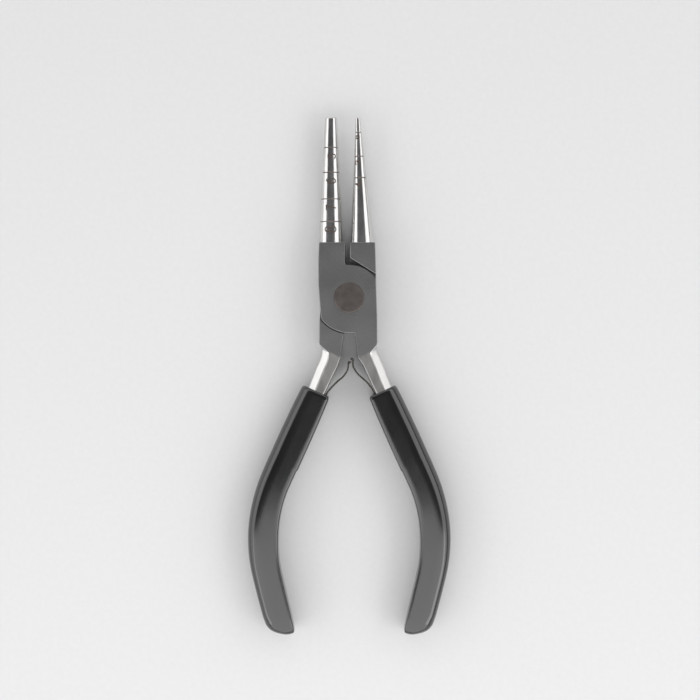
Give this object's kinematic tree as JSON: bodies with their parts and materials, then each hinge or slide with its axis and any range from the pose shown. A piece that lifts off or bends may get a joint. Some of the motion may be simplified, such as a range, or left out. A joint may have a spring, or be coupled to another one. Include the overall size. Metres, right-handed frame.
{
  "type": "round nose pliers",
  "caption": "Round nose pliers with tapered, ring-grooved jaws, a riveted lap joint, two leaf return springs and sleeved, bowed handles.",
  "frame": {"origin": "on the pivot axis, in the back face of the joint, which lies on the bench", "axes": "+Y along the tool towards the jaw tips, +Z along the pivot axis, up off the bench, +X across the tool"},
  "size_m": [0.0632, 0.1616, 0.01],
  "materials": {
    "steel": "satin on the joint faces, polished on the jaws and tangs",
    "rivet_steel": "ground flush",
    "spring_steel": "rolled strip",
    "grip": "soft glossy vinyl"
  },
  "bodies": {
    "front_side": {"front_half": "steel", "joint_rivet": "rivet_steel", "right_grip": "grip", "right_spring_foot": "spring_steel", "right_spring_rivet": "rivet_steel"},
    "back_side": {"back_half": "steel", "left_grip": "grip", "left_spring_foot": "spring_steel", "left_spring_rivet": "rivet_steel"},
    "right_leaf": {"right_spring_leaf": "spring_steel"},
    "left_leaf": {"left_spring_leaf": "spring_steel"}
  },
  "joints": [
    {"name": "jaw_pivot", "type": "hinge", "parent": "front_side", "child": "back_side", "pos_m": [0, 0, 0.005], "axis": [0, 0, -1], "range_deg": [-5.5, 12], "stiffness_Nm_per_rad": 1.5},
    {"name": "right_leaf_flex", "type": "hinge", "parent": "front_side", "child": "right_leaf", "pos_m": [0.00764, -0.02944, 0.005], "axis": [0, 0, 1], "range_deg": [-6.3, 13.7]},
    {"name": "left_leaf_flex", "type": "hinge", "parent": "back_side", "child": "left_leaf", "pos_m": [-0.00675, -0.02941, 0.005], "axis": [0, 0, -1], "range_deg": [-5.6, 12.1]}
  ],
  "couplings": [
    {"joint": "right_leaf_flex", "follows": "jaw_pivot", "ratio": 1.14},
    {"joint": "left_leaf_flex", "follows": "jaw_pivot", "ratio": 1}
  ]
}
